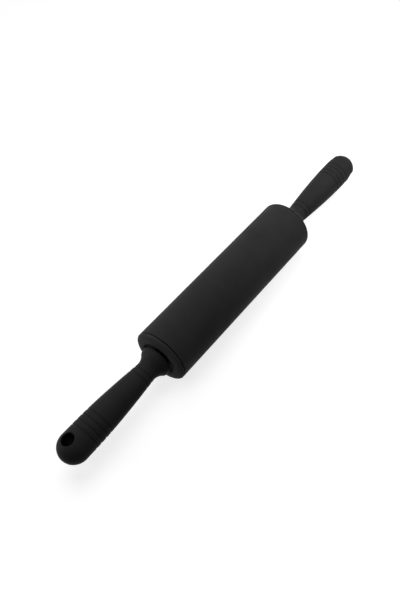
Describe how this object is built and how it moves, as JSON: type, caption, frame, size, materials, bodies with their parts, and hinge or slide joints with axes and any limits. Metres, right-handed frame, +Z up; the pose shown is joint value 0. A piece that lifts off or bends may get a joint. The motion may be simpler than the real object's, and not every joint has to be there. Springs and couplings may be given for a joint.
{
  "type": "silicone rolling pin",
  "caption": "Rolling pin with a smooth silicone roller between rounded end caps, on a through axle, and moulded handles that turn freely and end in a hanging hole.",
  "frame": {"origin": "middle of the roller, on the axle's axis", "axes": "+X along the axle towards the far handle of the picture, +Z up with the pin lying on a table, +Y across"},
  "size_m": [0.4076, 0.0498, 0.0498],
  "materials": {
    "silicone": "matt moulded silicone",
    "cap_plastic": "matt moulded plastic",
    "grip_plastic": "satin moulded plastic",
    "core_plastic": "extruded plastic tube",
    "bearing_plastic": "black bearing plastic",
    "axle_steel": "drawn bright steel rod",
    "spring_steel": "stamped spring steel"
  },
  "bodies": {
    "roller": {"silicone_sleeve": "silicone", "core_tube": "core_plastic", "near_end_cap": "cap_plastic", "far_end_cap": "cap_plastic", "axle_rod": "axle_steel", "near_axle_clip": "spring_steel", "far_axle_clip": "spring_steel", "near_snap_ring": "spring_steel", "far_snap_ring": "spring_steel", "near_thrust_washer": "bearing_plastic", "far_thrust_washer": "bearing_plastic"},
    "near_handle": {"near_grip": "grip_plastic", "near_handle_liner": "bearing_plastic"},
    "far_handle": {"far_grip": "grip_plastic", "far_handle_liner": "bearing_plastic"}
  },
  "joints": [
    {"name": "near_handle_spin", "type": "hinge", "parent": "roller", "child": "near_handle", "pos_m": [-0.0952, 0, 0], "axis": [1, 0, 0], "continuous": true},
    {"name": "far_handle_spin", "type": "hinge", "parent": "roller", "child": "far_handle", "pos_m": [0.0952, 0, 0], "axis": [1, 0, 0], "continuous": true}
  ]
}
